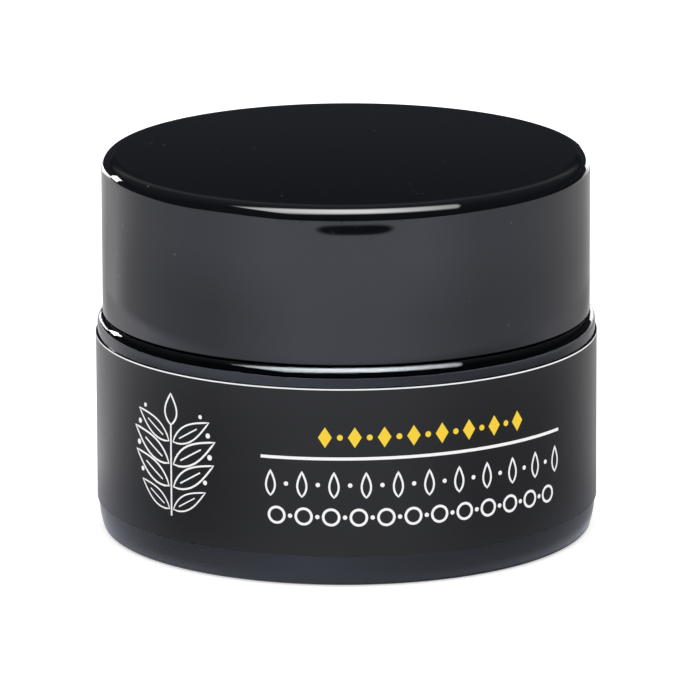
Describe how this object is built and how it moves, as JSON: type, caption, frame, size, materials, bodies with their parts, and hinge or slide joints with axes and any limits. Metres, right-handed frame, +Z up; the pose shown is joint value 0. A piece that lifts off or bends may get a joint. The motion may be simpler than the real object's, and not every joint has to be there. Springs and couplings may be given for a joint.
{
  "type": "cosmetic jar",
  "caption": "Short round cosmetic jar of thick dark glass with a matt wrap-around label and a glossy straight-sided screw lid, holding cream or balm",
  "frame": {"origin": "middle of the base, on the plane that the jar stands on", "axes": "+Z up along the jar's axis; -Y towards the front of the label; the label's ends meet at +Y"},
  "size_m": [0.046, 0.046, 0.0349],
  "materials": {
    "violet_glass": "polished, nearly opaque dark violet glass",
    "label_film": "matt black printed film",
    "shell_plastic": "high-gloss black",
    "insert_plastic": "moulded black",
    "liner_foam": "white closed-cell foam",
    "disc_plastic": "soft white moulded plastic"
  },
  "bodies": {
    "jar": {"glass_jar": "violet_glass", "wrap_label": "label_film"},
    "seal": {"sealing_disc": "disc_plastic"},
    "liner": {"liner_disc": "liner_foam"},
    "lid": {"lid_shell": "shell_plastic", "lid_insert": "insert_plastic"}
  },
  "joints": [
    {"name": "lift_off", "type": "slide", "parent": "jar", "child": "seal", "axis": [0, 0, 1], "range_m": [0, 0.025]},
    {"name": "lid_rise", "type": "slide", "parent": "seal", "child": "liner", "axis": [0, 0, 1], "range_m": [0, 0.0053]},
    {"name": "lid_turn", "type": "hinge", "parent": "liner", "child": "lid", "pos_m": [0, 0, 0.0275], "axis": [0, 0, 1], "range_deg": [0, 450]}
  ],
  "couplings": [
    {"joint": "lid_rise", "follows": "lid_turn", "m_per_rad": 0.00067376}
  ]
}
